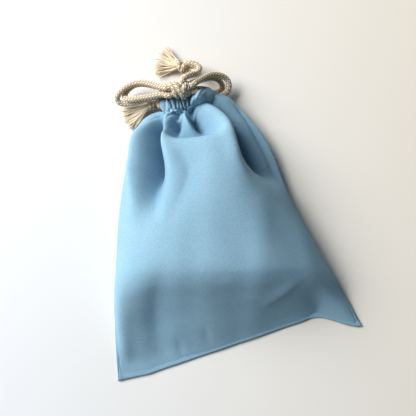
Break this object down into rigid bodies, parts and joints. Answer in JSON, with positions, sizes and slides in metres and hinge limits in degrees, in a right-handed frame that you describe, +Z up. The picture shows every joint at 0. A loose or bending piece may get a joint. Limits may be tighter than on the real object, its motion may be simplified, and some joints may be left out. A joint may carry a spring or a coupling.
{
  "type": "drawstring gift pouch",
  "caption": "Filled cotton gift pouch lying on its back, its gathered mouth closed by drawcords tied in a bow with knotted, frayed tails.",
  "frame": {"origin": "on the table, under the middle of the pouch without its bow", "axes": "+X across the pouch to its right side, +Y from the bottom seam to the mouth, +Z up from the table"},
  "size_m": [0.2, 0.2586, 0.0501],
  "materials": {
    "blue_cotton": "matt dusty blue cotton twill",
    "blue_thread": "blue sewing thread",
    "natural_cord": "undyed braided cotton cord",
    "frayed_yarn": "loose undyed cotton yarn"
  },
  "bodies": {
    "pouch": {"front_panel": "blue_cotton", "back_panel": "blue_cotton", "left_seam_allowance": "blue_cotton", "right_seam_allowance": "blue_cotton", "bottom_seam_allowance": "blue_cotton", "front_casing": "blue_cotton", "back_casing": "blue_cotton", "front_casing_stitching": "blue_thread", "back_casing_stitching": "blue_thread", "left_drawcord": "natural_cord", "right_drawcord": "natural_cord", "bow_knot": "natural_cord"},
    "left_bow_loop": {"left_loop": "natural_cord"},
    "right_bow_loop": {"right_loop": "natural_cord"},
    "upper_cord_end": {"upper_tail": "natural_cord", "upper_end_knot": "natural_cord"},
    "upper_fringe": {"upper_tassel": "frayed_yarn"},
    "lower_cord_end": {"lower_tail": "natural_cord", "lower_end_knot": "natural_cord"},
    "lower_fringe": {"lower_tassel": "frayed_yarn"}
  },
  "joints": [
    {"name": "left_loop_lift", "type": "hinge", "parent": "pouch", "child": "left_bow_loop", "pos_m": [0.0005, 0.1062, 0.027], "axis": [0, 1, 0], "range_deg": [0, 60]},
    {"name": "right_loop_lift", "type": "hinge", "parent": "pouch", "child": "right_bow_loop", "pos_m": [0.0005, 0.1062, 0.027], "axis": [0, -1, 0], "range_deg": [0, 60]},
    {"name": "upper_tail_swing", "type": "hinge", "parent": "pouch", "child": "upper_cord_end", "pos_m": [0.0005, 0.1062, 0.027], "axis": [0, 0, 1], "range_deg": [0, 16]},
    {"name": "upper_tassel_swing", "type": "hinge", "parent": "upper_cord_end", "child": "upper_fringe", "pos_m": [0.0053, 0.1316, 0.0056], "axis": [0, 0, 1], "range_deg": [-25, 5]},
    {"name": "lower_tail_swing", "type": "hinge", "parent": "pouch", "child": "lower_cord_end", "pos_m": [0.0005, 0.1062, 0.027], "axis": [0, 0, -1], "range_deg": [0, 8]},
    {"name": "lower_tassel_swing", "type": "hinge", "parent": "lower_cord_end", "child": "lower_fringe", "pos_m": [-0.0249, 0.1064, 0.0056], "axis": [0, 0, -1], "range_deg": [0, 20]}
  ]
}
